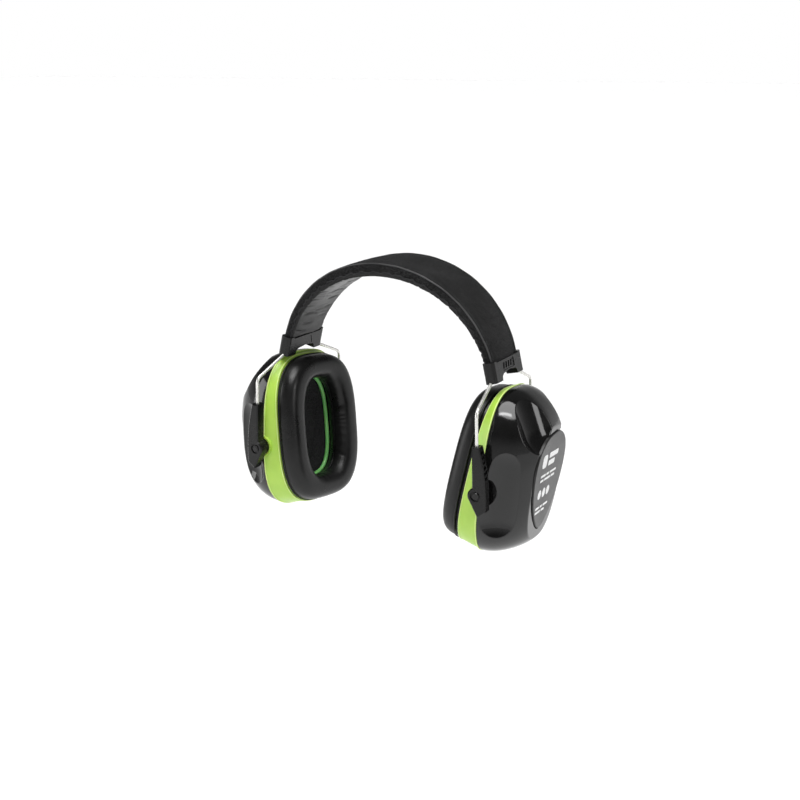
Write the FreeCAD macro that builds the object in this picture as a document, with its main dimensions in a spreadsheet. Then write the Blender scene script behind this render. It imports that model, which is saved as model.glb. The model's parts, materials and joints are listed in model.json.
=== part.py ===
import FreeCAD, Part
import math
import os
import Sketcher
from FreeCAD import Placement, Rotation, Vector

# Earmuff hearing protector with a padded headband, two spring wires and two pivoting ear cups.
# Millimetres. The origin is the middle of the headband pad's underside at the crown, where the
# wearer's head carries the band. +Z is up, the wearer's ears lie along X, and -Y faces forward.
# A cup is drawn in its own frame: the origin is midway between its two pivot pins, +X points
# away from the head on the right cup (mirrored on the left one) and Y runs along the pins.

SIZES = {
    # headband: it is widest and thickest at the crown
    "crown_width": 45.0, "end_width": 36.0, "taper_top": 8.8, "taper_foot": -48.0,
    "band_thick": 8.8, "end_thick": 5.6, "pad_thick": 3.0, "end_pad_thick": 1.4,
    "cover_thick": 1.2, "core_inset": 1.2, "wire_depth": 2.7,
    "crown_radius": 82.5, "crown_angle": 26.0, "shoulder_radius": 74.0, "shoulder_angle": 77.0,
    "band_tail": 3.5, "pad_tail": -4.0,
    # spring wires
    "wire_diameter": 2.0, "wire_spacing": 30.0, "leg_bend_radius": 3.6, "elbow_radius": 5.0,
    "leg_corner_drop": 6.6, "elbow_out": 75.7, "elbow_height": -69.4, "wire_end_length": 39.6,
    "wire_splay": 1.5, "cup_yaw": 3.2,
    # bracket at each end of the band
    "bracket_width": 41.0, "bracket_inner": 3.6, "bracket_outer": 4.3, "bracket_top": 3.9,
    "bracket_foot": 9.0, "web_foot": 5.2, "leg_width": 9.6, "slot_clearance": 0.1,
    "bracket_round": 2.4, "lip_half": 16.5, "lip_rise": 0.9, "panel_half": 8.2, "panel_top": 1.9,
    "panel_foot": 3.6, "panel_depth": 0.45, "mark_pitch": 3.4, "mark_width": 1.2,
    # arms that slide on the wires and hold the pivot pins
    "arm_spacing": 91.0, "arm_depth": 6.4, "arm_top": 30.4, "arm_tip": 13.9, "arm_inner": 2.1,
    "arm_top_out": 2.5, "arm_mid_out": 5.6, "arm_mid_up": 14.0, "arm_foot_out": 6.5,
    "arm_foot_drop": 4.0, "heel_out": 6.2, "heel_drop": 9.8, "tip_out": 1.2, "boss_radius": 5.2,
    "pivot_drop": 46.8, "right_extra_drop": 4.0, "wire_bore": 26.5, "bore_clearance": 0.05,
    "pin_radius": 1.9, "pin_head_radius": 2.3, "pin_recess_radius": 3.3, "pin_recess": 0.8,
    "pin_inner_reach": 36.0, "pin_dome": 0.35, "pin_clearance": 0.02,
    "notch_top": 26.6, "notch_pitch": 3.1, "notch_height": 1.6, "notch_depth": 1.2,
    "left_tilt": 8.6, "right_tilt": 10.8,
    # ear cup, sizes in the cup's own frame
    "cup_centre": 3.3, "outline_power": 3.0, "ring_face": -11.4, "ring_height": 49.9,
    "ring_width": 37.5, "joint_face": -1.2, "joint_height": 52.0, "joint_width": 40.4,
    "wedge_angle": 6.15, "ring_wall": 2.6, "flange_thick": 1.8, "flange_height": 34.8,
    "flange_half_width": 23.6, "joint_gap": 0.25, "ring_edge": 0.5, "lip_width": 1.5,
    "pad_disc_radius": 5.2, "pad_disc_reach": 41.9, "relief_radius": 9.4, "relief_reach": 39.4,
    "wall_thick": 2.2, "face_out": 27.4, "face_lean": 4.0, "face_edge": 2.0, "cup_pitch": 6.0,
    "scallop_radius": 22.0, "scallop_across": 28.6, "scallop_low_out": 32.2, "scallop_low_up": 46.5,
    "scallop_high_out": 21.0, "scallop_high_up": 63.5, "scallop_edge": 0.8,
    "scoop_radius": 20.0, "scoop_edge": 0.8,
    "scoop_low_out": 19.0, "scoop_low_across": 50.6, "scoop_low_drop": 22.0,
    "scoop_high_out": 16.5, "scoop_high_across": 54.6, "scoop_high_up": 14.0,
    "badge_top": 36.4, "badge_foot": 27.8, "badge_half": 25.2, "badge_waist_half": 23.4,
    "badge_hip_half": 14.5, "badge_recess": 1.0, "badge_thick": 1.9, "badge_gap": 0.9,
    "badge_edge": 0.7,
    "liner_height": 44.2, "liner_width": 32.6, "liner_front": -6.0, "liner_back": 5.0,
    "dish_height": 33.0, "dish_width": 22.0,
    # replaceable ear cushion
    "plate_thick": 1.8, "plate_height": 48.4, "plate_width": 36.6, "plate_opening_height": 40.0,
    "plate_opening_width": 28.0, "cushion_thick": 11.5, "cushion_height": 48.6,
    "cushion_width": 37.4, "ear_opening_height": 33.0, "ear_opening_width": 22.0,
    "cushion_edge": 5.5, "cushion_skin": 1.0,
}

doc = FreeCAD.newDocument("EarmuffHearingProtector")
sheet = doc.addObject("Spreadsheet::Sheet", "Sizes")
for row, (alias, value) in enumerate(SIZES.items(), 1):
    sheet.set(f"A{row}", alias)
    sheet.set(f"B{row}", str(value))
    sheet.setAlias(f"B{row}", alias)
doc.recompute()

X_AXIS, Y_AXIS, Z_AXIS = Vector(1, 0, 0), Vector(0, 1, 0), Vector(0, 0, 1)
LEFT, RIGHT = -1, 1
FRONT, REAR = -1, 1
SIDE_NAME = {LEFT: "left", RIGHT: "right"}
END_NAME = {FRONT: "front", REAR: "rear"}
sub_parts = []


def size(alias):
    """The value of one driving dimension."""
    return float(sheet.get(alias))


def listed(sub_part, label):
    """Gives a finished sub-part its node name and adds it to the model."""
    sub_part.Label = label
    sub_parts.append(sub_part)
    return sub_part


# ---------------------------------------------------------------- sketch and body helpers

def origin_plane(body, role):
    return next(plane for plane in body.Origin.OriginFeatures if plane.Role == role)


def new_sketch(body, name, role, shift=0.0):
    """A sketch on one of the body's origin planes, moved along the plane's normal."""
    sketch = body.newObject("Sketcher::SketchObject", name)
    sketch.AttachmentSupport = [(origin_plane(body, role), "")]
    sketch.MapMode = "FlatFace"
    sketch.AttachmentOffset = Placement(Vector(0, 0, shift), Rotation())
    return sketch


def feature(body, kind, sketch, name, **bound):
    """A PartDesign feature on a sketch, with the bound properties taken from the sheet."""
    made = body.newObject("PartDesign::" + kind, name)
    made.Profile = sketch
    for prop, expression in bound.items():
        made.setExpression(prop, expression)
    return made


def closed_outline(sketch, points):
    """Straight lines through the points and back to the first one."""
    flat = [Vector(x, y, 0) for x, y in points]
    for start, end in zip(flat, flat[1:] + flat[:1]):
        sketch.addGeometry(Part.LineSegment(start, end), False)


def rectangle(sketch, centre_x, centre_y, width, height):
    """A rectangle whose width and height are expressions of the sheet."""
    half = 1.0
    corners = [(-half, -half), (half, -half), (half, half), (-half, half)]
    first = sketch.GeometryCount
    closed_outline(sketch, [(centre_x + x, centre_y + y) for x, y in corners])
    bottom, right, top, left = range(first, first + 4)
    for one, two in ((bottom, right), (right, top), (top, left), (left, bottom)):
        sketch.addConstraint(Sketcher.Constraint("Coincident", one, 2, two, 1))
    sketch.addConstraint([Sketcher.Constraint("Horizontal", bottom),
                          Sketcher.Constraint("Horizontal", top),
                          Sketcher.Constraint("Vertical", right),
                          Sketcher.Constraint("Vertical", left)])
    driving = (("DistanceX", bottom, 1, bottom, 2, width), ("DistanceY", right, 1, right, 2, height))
    for kind, g1, p1, g2, p2, expression in driving:
        index = sketch.addConstraint(Sketcher.Constraint(kind, g1, p1, g2, p2, 2 * half))
        sketch.setExpression(f"Constraints[{index}]", expression)
    placing = (("DistanceX", f"{centre_x} - ({width}) / 2"), ("DistanceY", f"{centre_y} - ({height}) / 2"))
    for kind, expression in placing:
        index = sketch.addConstraint(Sketcher.Constraint(kind, -1, 1, bottom, 1, 1.0))
        sketch.setExpression(f"Constraints[{index}]", expression)


def circle(sketch, centre_x, centre_y, radius):
    """A circle whose radius is an expression of the sheet."""
    index = sketch.addGeometry(Part.Circle(Vector(centre_x, centre_y, 0), Z_AXIS, 1.0), False)
    constraint = sketch.addConstraint(Sketcher.Constraint("Radius", index, 1.0))
    sketch.setExpression(f"Constraints[{constraint}]", radius)


def edges_where(shape, wanted):
    """Names of the edges whose middle point passes the test."""
    names = []
    for number, edge in enumerate(shape.Edges, 1):
        middle = edge.valueAt((edge.FirstParameter + edge.LastParameter) / 2)
        if wanted(edge, middle):
            names.append(f"Edge{number}")
    return names


def round_edges(body, base, radius, wanted, kind="Fillet"):
    """Fillets or chamfers the chosen edges of the body's last feature."""
    doc.recompute()
    names = edges_where(base.Shape, wanted)
    made = body.newObject("PartDesign::" + kind, kind)
    made.Base = (base, names)
    if kind == "Fillet":
        made.Radius = radius
    else:
        made.Size = radius
    return made


def computed(name, shape, placement=None):
    """A document object that holds a shape worked out with Part's own functions."""
    made = doc.addObject("Part::Feature", name)
    made.Shape = shape
    if placement:
        made.Placement = placement
    return made


# ---------------------------------------------------------------- places of the moving parts

def yoke_turn(side):
    """Turn of the wire ends: the cup's yaw about Z and the wires' outward splay."""
    yaw = Rotation(Z_AXIS, side * size("cup_yaw"))
    splay = Rotation(Y_AXIS, -side * size("wire_splay"))
    return yaw.multiply(splay)


def elbow_centre(side):
    """Midway between the front and rear wires' elbows."""
    return Vector(side * size("elbow_out"), 0, size("elbow_height"))


def yoke_frame(side):
    """Frame of the two arms of one cup: the origin is midway between the pins."""
    drop = size("pivot_drop")
    if side == RIGHT:
        drop += size("right_extra_drop")
    turn = yoke_turn(side)
    return Placement(elbow_centre(side) + turn.multVec(Vector(0, 0, -drop)), turn)


def cup_frame(side):
    """Frame of one cup: the yoke's origin, yawed and tilted with its foot towards the head."""
    tilt = size(SIDE_NAME[side] + "_tilt")
    yaw = Rotation(Z_AXIS, side * size("cup_yaw"))
    return Placement(yoke_frame(side).Base, yaw.multiply(Rotation(Y_AXIS, side * tilt)))


# ---------------------------------------------------------------- headband

def band_curve(crown_depth, end_depth, tail):
    """Half of the band's curve at a depth under its outer face: points for the right side.

    The depth changes from the crown to the end. A negative tail stops short of the band's end.
    Returns the crown's top, middle and end, the shoulder's middle and end, and the tail's end.
    """
    crown = math.radians(size("crown_angle"))
    shoulder = math.radians(size("shoulder_angle"))
    crown_centre = Vector(0, 0, size("band_thick") - size("crown_radius"))
    turn_centre = crown_centre + Vector(math.sin(crown), 0, math.cos(crown)) * (
        size("crown_radius") - size("shoulder_radius"))

    def at(centre, radius, angle):
        depth = crown_depth + (end_depth - crown_depth) * (angle / shoulder) ** 1.5
        return centre + Vector(math.sin(angle), 0, math.cos(angle)) * (radius - depth)

    end = shoulder
    if tail < 0:
        end += tail / size("shoulder_radius")
    along = Vector(math.cos(shoulder), 0, -math.sin(shoulder)) * max(tail, 0)
    crown_points = [at(crown_centre, size("crown_radius"), angle) for angle in (0, crown / 2, crown)]
    turn_points = [at(turn_centre, size("shoulder_radius"), angle) for angle in ((crown + end) / 2, end)]
    return crown_points + turn_points + [turn_points[-1] + along]


def flat(point, side=RIGHT):
    """The point in an XZ sketch's own plane."""
    return Vector(side * point.x, point.z, 0)


def band_edge(sketch, depths, tail):
    """Draws one long edge of a band layer from left to right and returns its two ends."""
    apex, crown_mid, crown_end, turn_mid, turn_end, tail_end = band_curve(*depths, tail)
    for side in (LEFT, RIGHT):
        sketch.addGeometry(Part.Arc(flat(apex), flat(crown_mid, side), flat(crown_end, side)), False)
        sketch.addGeometry(Part.Arc(flat(crown_end, side), flat(turn_mid, side), flat(turn_end, side)), False)
        if tail > 0:
            sketch.addGeometry(Part.LineSegment(flat(turn_end, side), flat(tail_end, side)), False)
    return flat(tail_end, LEFT), flat(tail_end)


def band_layer(name, outer_depths, inner_depths, tail, inset=0.0):
    """One layer of the headband: a strip bent along the band's curve, narrower at its ends.

    The depths are (at the crown, at the ends), and the inset is taken off each long side.
    """
    body = doc.addObject("PartDesign::Body", name)
    sketch = new_sketch(body, name + "_profile", "XZ_Plane")
    outer_ends = band_edge(sketch, outer_depths, tail)
    inner_ends = band_edge(sketch, inner_depths, tail)
    for outer, inner in zip(outer_ends, inner_ends):
        sketch.addGeometry(Part.LineSegment(outer, inner), False)
    pad = feature(body, "Pad", sketch, name + "_strip", Length=f"Sizes.crown_width - {2 * inset}")
    pad.Midplane = True

    crown_half, end_half = size("crown_width") / 2 - inset, size("end_width") / 2 - inset
    top, foot = size("taper_top"), size("taper_foot")
    beyond = crown_half + 5
    below = foot - 40
    sides = new_sketch(body, name + "_sides", "YZ_Plane")
    for end in (FRONT, REAR):
        closed_outline(sides, [(end * crown_half, top), (end * end_half, foot), (end * end_half, below),
                               (end * beyond, below), (end * beyond, top)])
    cut = feature(body, "Pocket", sides, name + "_taper")
    cut.Length = 400
    cut.Midplane = True
    return body


def band_frame(side):
    """Frame at the band's end, on the wires' plane: +Z runs back up along the band."""
    turn_end = band_curve(size("wire_depth"), size("wire_depth"), 0)[4]
    lean = 90 - size("shoulder_angle")
    place = Vector(side * turn_end.x, 0, turn_end.z)
    return Placement(place, Rotation(Y_AXIS, -side * lean))


# ---------------------------------------------------------------- spring wires

def corner_arc(before, corner, after, radius):
    """The two tangent points and the arc that rounds a corner of a route."""
    back = (before - corner).normalize()
    ahead = (after - corner).normalize()
    half_turn = back.getAngle(ahead) / 2
    reach = radius / math.tan(half_turn)
    start = corner + back * reach
    end = corner + ahead * reach
    bisector = (back + ahead).normalize()
    middle = corner + bisector * (radius / math.sin(half_turn) - radius)
    return start, end, Part.Arc(start, middle, end).toShape()


def wire_half(side, end):
    """Edges of one wire from the crown to the arm on one side."""
    depth = size("wire_depth")
    across = Vector(0, end * size("wire_spacing") / 2, 0)
    points = [Vector(side * p.x, 0, p.z) + across
              for p in band_curve(depth, depth, size("leg_corner_drop"))]
    apex, crown_mid, crown_end, turn_mid, turn_end, leg_corner = points
    turn = Rotation(Z_AXIS, side * size("cup_yaw"))
    elbow = elbow_centre(side) + turn.multVec(Vector(0, end * size("arm_spacing") / 2, 0))
    foot = elbow + yoke_turn(side).multVec(Vector(0, 0, -size("wire_end_length")))
    leg_start, leg_end, leg_arc = corner_arc(turn_end, leg_corner, elbow, size("leg_bend_radius"))
    elbow_start, elbow_end, elbow_arc = corner_arc(leg_corner, elbow, foot, size("elbow_radius"))
    return [Part.Arc(apex, crown_mid, crown_end).toShape(),
            Part.Arc(crown_end, turn_mid, turn_end).toShape(),
            Part.LineSegment(turn_end, leg_start).toShape(),
            leg_arc,
            Part.LineSegment(leg_end, elbow_start).toShape(),
            elbow_arc,
            Part.LineSegment(elbow_end, foot).toShape()]


def wire_pipe(end, radius):
    """A round rod along the whole route of the front or rear wire."""
    edges = list(reversed(wire_half(LEFT, end))) + wire_half(RIGHT, end)
    path = Part.Wire(Part.__sortEdges__(edges))
    foot_edge = path.OrderedEdges[0]
    start = path.OrderedVertexes[0].Point
    along = foot_edge.tangentAt(foot_edge.FirstParameter)
    section = Part.Wire([Part.Circle(start, along, radius).toShape()])
    rod = path.makePipeShell([section], True, False)
    expected = math.pi * radius ** 2 * path.Length
    if abs(rod.Volume - expected) > 0.01 * expected:
        raise ValueError(f"wire volume {rod.Volume:.0f} differs from {expected:.0f}")
    return rod


def make_headband():
    """The cover, pad, foam core and wires. Returns the bores that the wires run in."""
    cover, tail = size("cover_thick"), size("band_tail")
    core_foot = size("band_thick") - size("pad_thick"), size("end_thick") - size("end_pad_thick")
    bore_radius = size("wire_diameter") / 2 + size("bore_clearance")
    wire_bores = [wire_pipe(end, bore_radius) for end in (FRONT, REAR)]

    def deeper(depths, extra):
        return depths[0] + extra, depths[1] + extra

    # outer fabric: a strip with turned-down edges, hollowed for the foam core
    strip = band_layer("cover_strip", (0, 0), deeper(core_foot, -0.1), tail)
    hollow = band_layer("cover_hollow", (cover, cover), deeper(core_foot, 2), tail + 5, size("core_inset"))
    fabric = doc.addObject("Part::Cut", "cover_with_hollow")
    fabric.Base, fabric.Tool = strip, hollow
    listed(fabric, "headband_cover")

    pad = band_layer("pad_strip", core_foot, (size("band_thick"), size("end_thick")), size("pad_tail"))
    listed(pad, "headband_pad")

    foam = band_layer("core_strip", (cover + 0.05, cover + 0.05), deeper(core_foot, -0.05), tail,
                      size("core_inset") + 0.05)
    doc.recompute()
    bores = computed("core_bores", Part.Compound(wire_bores))
    core = doc.addObject("Part::Cut", "core_with_bores")
    core.Base, core.Tool = foam, bores
    listed(core, "headband_core")

    for end in (FRONT, REAR):
        listed(computed("wire", wire_pipe(end, size("wire_diameter") / 2)), END_NAME[end] + "_wire")
    return wire_bores


def make_bracket(side, wire_bores):
    """The moulded end piece: it grips the band's end and the two wires leave through its legs."""
    name = SIDE_NAME[side] + "_bracket"
    body = doc.addObject("PartDesign::Body", name + "_body")
    top, foot, web = size("bracket_top"), -size("bracket_foot"), -size("web_foot")
    depth = size("bracket_inner") + size("bracket_outer")
    centre_x = side * (size("bracket_outer") - size("bracket_inner")) / 2
    through = "Sizes.bracket_inner + Sizes.bracket_outer + 2"
    block = new_sketch(body, name + "_block", "YZ_Plane", centre_x)
    rectangle(block, 0, (top + foot) / 2, "Sizes.bracket_width", "Sizes.bracket_top + Sizes.bracket_foot")
    solid = feature(body, "Pad", block, name + "_solid", Length="Sizes.bracket_inner + Sizes.bracket_outer")
    solid.Midplane = True
    half_width = size("bracket_width") / 2
    round_edges(body, solid, size("bracket_round"), lambda edge, m: abs(abs(m.y) - half_width) < 0.01
                and abs(abs(m.x - centre_x) - depth / 2) < 0.01)

    # arch between the legs, where the top of the cup comes up
    gap = half_width - size("leg_width")
    half_arch = [(gap + 0.4, foot - 1), (gap - 0.6, web - 1.2), (gap - 2.4, web)]
    arch = new_sketch(body, name + "_arch", "YZ_Plane", centre_x)
    closed_outline(arch, [(-y, z) for y, z in half_arch] + [(0, web + 1)] + half_arch[::-1])
    cut = feature(body, "Pocket", arch, name + "_arch_cut", Length=through)
    cut.Midplane = True

    # the top edge is lower between the two raised corner lips
    lip, level = size("lip_half"), top - size("lip_rise")
    dip = new_sketch(body, name + "_dip", "YZ_Plane", centre_x)
    closed_outline(dip, [(-lip, top + 1), (1.2 - lip, level), (lip - 1.2, level), (lip, top + 1)])
    cut = feature(body, "Pocket", dip, name + "_dip_cut", Length=through)
    cut.Midplane = True

    # slot for the cover and the foam core
    slot_outer = size("wire_depth") + size("slot_clearance")
    slot_inner = size("wire_depth") - size("end_thick") + size("end_pad_thick") - size("slot_clearance")
    slot_floor = -size("band_tail") - size("slot_clearance")
    slot = new_sketch(body, name + "_slot", "XZ_Plane")
    closed_outline(slot, [(side * x, z) for x, z in ((slot_inner, slot_floor), (slot_outer, slot_floor),
                                                     (slot_outer, top + 2), (slot_inner, top + 2))])
    cut = feature(body, "Pocket", slot, name + "_slot_cut", Length="Sizes.end_width + 2 * Sizes.slot_clearance")
    cut.Midplane = True

    # sunk panel with four plain raised bars on the outer face
    panel = new_sketch(body, name + "_panel", "YZ_Plane", side * size("bracket_outer"))
    half, panel_top, panel_foot = size("panel_half"), size("panel_top"), -size("panel_foot")
    closed_outline(panel, [(-half, panel_foot), (half, panel_foot), (half, panel_top), (-half, panel_top)])
    for step in (-1.5, -0.5, 0.5, 1.5):
        y = step * size("mark_pitch")
        closed_outline(panel, [(y - 1.2, panel_foot + 1), (y, panel_foot + 1),
                               (y + 1.2, panel_top - 1), (y + 1.2 - size("mark_width"), panel_top - 1)])
    cut = feature(body, "Pocket", panel, name + "_panel_cut")
    cut.Length = size("panel_depth")
    cut.Reversed = side == LEFT

    # slanted groove on the inner face
    groove = new_sketch(body, name + "_groove", "YZ_Plane", -side * size("bracket_inner"))
    closed_outline(groove, [(4.2, 1.6), (5.0, 1.6), (7.4, -4.0), (6.6, -4.0)])
    cut = feature(body, "Pocket", groove, name + "_groove_cut")
    cut.Length = 0.4
    cut.Reversed = side == RIGHT
    doc.recompute()
    body.Placement = band_frame(side)

    # bores for the wires
    bores = computed(name + "_bores", Part.Compound(wire_bores))
    bored = doc.addObject("Part::Cut", name + "_bored")
    bored.Base, bored.Tool = body, bores
    listed(bored, name)


# ---------------------------------------------------------------- arms and pins

def arm_outer_arc():
    """The arm's outer edge from its top to its foot, as three points beside the wire's axis."""
    return ((size("arm_top_out"), size("arm_top")), (size("arm_mid_out"), size("arm_mid_up")),
            (size("arm_foot_out"), -size("arm_foot_drop")))


def arm_outer_edge(height):
    """How far the arm's outer edge stands from the pin's axis at a height."""
    edge = Part.Arc(*[Vector(x, z, 0) for x, z in arm_outer_arc()]).toShape().Curve
    return edge.Center.x + math.sqrt(edge.Radius ** 2 - (height - edge.Center.y) ** 2)


def make_arm(side, end):
    """One pivot arm: it slides on the wire's straight end and carries the pivot pin."""
    name = f"{SIDE_NAME[side]}_{END_NAME[end]}_arm"
    body = doc.addObject("PartDesign::Body", name + "_body")
    profile = new_sketch(body, name + "_profile", "XZ_Plane")
    boss, top, inner_x = size("boss_radius"), size("arm_top"), -size("arm_inner")

    def place(point):
        return Vector(side * point[0], point[1], 0)

    def on_boss(degrees):
        angle = math.radians(degrees)
        return boss * math.cos(angle), boss * math.sin(angle)

    outer_top, outer_mid, outer_foot = arm_outer_arc()
    inner_top = inner_x, top
    boss_top = inner_x, math.sqrt(boss ** 2 - inner_x ** 2)
    boss_foot = on_boss(215)
    point, heel = (size("tip_out"), -size("arm_tip")), (size("heel_out"), -size("heel_drop"))
    straight = ((outer_top, inner_top), (inner_top, boss_top), (boss_foot, point), (point, heel), (heel, outer_foot))
    for start, stop in straight:
        profile.addGeometry(Part.LineSegment(place(start), place(stop)), False)
    for start, middle, stop in ((boss_top, on_boss(165), boss_foot), (outer_foot, outer_mid, outer_top)):
        profile.addGeometry(Part.Arc(place(start), place(middle), place(stop)), False)
    solid = feature(body, "Pad", profile, name + "_solid", Length="Sizes.arm_depth")
    solid.Midplane = True
    outside = end * size("arm_depth") / 2
    round_edges(body, solid, 0.7, lambda edge, m: abs(m.y - outside) < 0.01, "Chamfer")

    # ladder of shallow notches along the outer edge
    ladder = new_sketch(body, name + "_ladder", "XZ_Plane")
    half = size("notch_height") / 2
    for step in range(6):
        height = size("notch_top") - step * size("notch_pitch")
        edge_x = arm_outer_edge(height)
        floor = edge_x - size("notch_depth")
        closed_outline(ladder, [(side * x, z) for x, z in ((floor, height - half), (edge_x + 1, height - half),
                                                           (edge_x + 1, height + half), (floor, height + half))])
    cut = feature(body, "Pocket", ladder, name + "_notches", Length="Sizes.arm_depth - 2.4")
    cut.Midplane = True

    # bore for the wire, from the top down
    bore = new_sketch(body, name + "_bore", "XY_Plane", top)
    circle(bore, 0, 0, "Sizes.wire_diameter / 2 + Sizes.bore_clearance")
    feature(body, "Pocket", bore, name + "_wire_bore", Length="Sizes.wire_bore")

    # hole for the pin and the round recess for its head
    pin_hole = new_sketch(body, name + "_pin_hole", "XZ_Plane")
    circle(pin_hole, 0, 0, "Sizes.pin_radius + Sizes.pin_clearance")
    cut = feature(body, "Pocket", pin_hole, name + "_pin_bore", Length="Sizes.arm_depth + 2")
    cut.Midplane = True
    recess = new_sketch(body, name + "_recess", "XZ_Plane", -outside)
    circle(recess, 0, 0, "Sizes.pin_recess_radius")
    cut = feature(body, "Pocket", recess, name + "_head_recess", Length="Sizes.pin_recess")
    cut.Reversed = end == REAR
    doc.recompute()
    shift = Placement(Vector(0, end * size("arm_spacing") / 2, 0), Rotation())
    body.Placement = yoke_frame(side).multiply(shift)
    listed(body, name)


def make_pin(side, end):
    """Pivot pin: a shouldered head outside, a shaft through the arm and into the cup's wall."""
    name = f"{SIDE_NAME[side]}_{END_NAME[end]}_pin"
    body = doc.addObject("PartDesign::Body", name + "_body")
    profile = new_sketch(body, name + "_profile", "XY_Plane")
    outside = (size("arm_spacing") + size("arm_depth")) / 2
    shoulder = outside - size("pin_recess")
    head_end = outside + 0.1
    dome = size("pin_dome")
    shaft, head = size("pin_radius"), size("pin_head_radius")
    outline = [(0, size("pin_inner_reach")), (shaft, size("pin_inner_reach")), (shaft, shoulder),
               (head, shoulder), (head, head_end - dome), (head - dome, head_end), (0, head_end)]
    closed_outline(profile, [(x, end * y) for x, y in outline])
    turned = feature(body, "Revolution", profile, name + "_turned")
    turned.ReferenceAxis = (profile, ["V_Axis"])
    turned.Angle = 360
    doc.recompute()
    body.Placement = yoke_frame(side)
    listed(body, name)


# ---------------------------------------------------------------- ear cups

def oval(half_height, half_width, centre_z, power, narrowing=0.0, count=36):
    """A closed rounded outline in the YZ plane: a superellipse, narrower towards its foot."""
    points = []
    for step in range(count):
        angle = 2 * math.pi * step / count
        across, up = math.cos(angle), math.sin(angle)
        reach = (abs(across / half_width) ** power + abs(up / half_height) ** power) ** (-1 / power)
        z = reach * up
        y = reach * across * (1 + narrowing * z / half_height)
        points.append(Vector(0, y, centre_z + z))
    curve = Part.BSplineCurve()
    curve.interpolate(Points=points, PeriodicFlag=True)
    return Part.Wire([curve.toShape()])


def pitched(point):
    """The cup's form is turned a little about X, so that its top leans back like an ear."""
    return Rotation(X_AXIS, -size("cup_pitch")).multVec(point)


def standing(wire, side, out, lean=0.0, pivot_z=0.0):
    """The outline moved outward from the head, leaning about the Y direction, and pitched."""
    placed = wire.copy()
    turn = Rotation(Y_AXIS, -side * lean)
    centre = Vector(0, 0, pivot_z)
    stood = Placement(Vector(side * out, 0, 0) + centre - turn.multVec(centre), turn)
    placed.Placement = Placement(Vector(), Rotation(X_AXIS, -size("cup_pitch"))).multiply(stood)
    return placed


def joint_oval(side, inset, shift=0.0):
    """The outline in the slanted plane where the ring meets the shell."""
    wire = oval(size("joint_height") - inset, size("joint_width") - inset, size("cup_centre"),
                size("outline_power"))
    return standing(wire, side, size("joint_face") + shift, size("wedge_angle"), size("cup_centre"))


def face_oval(side, half_height, half_width, out):
    """An outline in a plane parallel to the cushion's face."""
    wire = oval(half_height, half_width, size("cup_centre"), size("outline_power"))
    return standing(wire, side, out)


def slab(side, wire_height, wire_width, start, end):
    """A straight oval block between two distances from the pins' plane."""
    face = Part.Face(face_oval(side, wire_height, wire_width, start))
    return face.extrude(Vector(side * (end - start), 0, 0))


def pin_cylinder(radius, start, end):
    """Round blocks around the pivot axis at both sides of the cup."""
    front = Part.makeCylinder(radius, end - start, Vector(0, start, 0), Y_AXIS)
    rear = Part.makeCylinder(radius, end - start, Vector(0, -end, 0), Y_AXIS)
    return front.fuse(rear)


def bowl(low, high, radius):
    """A rounded tool between two points of the pitched cup: a rod with ball ends."""
    low, high = pitched(low), pitched(high)
    along = high - low
    rod = Part.makeCylinder(radius, along.Length, low, along)
    return rod.fuse([Part.makeSphere(radius, low), Part.makeSphere(radius, high)])


def scallops(side, extra=0.0):
    """The two bowls that hollow the shell's upper corners, with a flat ridge left between them."""
    across = size("scallop_across")
    return [bowl(Vector(side * size("scallop_low_out"), end * across, size("scallop_low_up")),
                 Vector(side * size("scallop_high_out"), end * across, size("scallop_high_up")),
                 size("scallop_radius") + extra) for end in (FRONT, REAR)]


def scoops(side, extra=0.0):
    """The tall bowls that hollow the shell's front and rear walls, deeper at their foot."""
    return [bowl(Vector(side * size("scoop_low_out"), end * size("scoop_low_across"), -size("scoop_low_drop")),
                 Vector(side * size("scoop_high_out"), end * size("scoop_high_across"), size("scoop_high_up")),
                 size("scoop_radius") + extra) for end in (FRONT, REAR)]


def shield(side, out, inset=0.0):
    """The badge's outline: an arched top, and sides that close to a round foot."""
    top, foot = size("badge_top"), -size("badge_foot")
    half = size("badge_half")
    right_side = [Vector(0, 0, top - inset),
                  Vector(0, half * 0.55 - inset * 0.5, top - 2.0 - inset),
                  Vector(0, half - inset, top - 10.5 - inset * 0.4),
                  Vector(0, size("badge_waist_half") - inset, -7.0),
                  Vector(0, size("badge_hip_half") - inset * 0.8, foot + 8.5 + inset * 0.4)]
    left_side = [Vector(0, -point.y, point.z) for point in reversed(right_side[1:])]
    curve = Part.BSplineCurve()
    curve.interpolate(Points=right_side + [Vector(0, 0, foot + inset)] + left_side, PeriodicFlag=True)
    return standing(Part.Wire([curve.toShape()]), side, out, size("face_lean"))


def face_normal(side):
    """Direction straight out of the shell's leaning outer face."""
    return pitched(Rotation(Y_AXIS, -side * size("face_lean")).multVec(Vector(side, 0, 0)))


def ring_room(side):
    """The space between the cushion's plane and the joint, a little wider than the ring."""
    return Part.makeLoft([face_oval(side, size("ring_height") + 4, size("ring_width") + 4, size("ring_face") - 2),
                          joint_oval(side, -4, -size("joint_gap"))], True, True)


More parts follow.
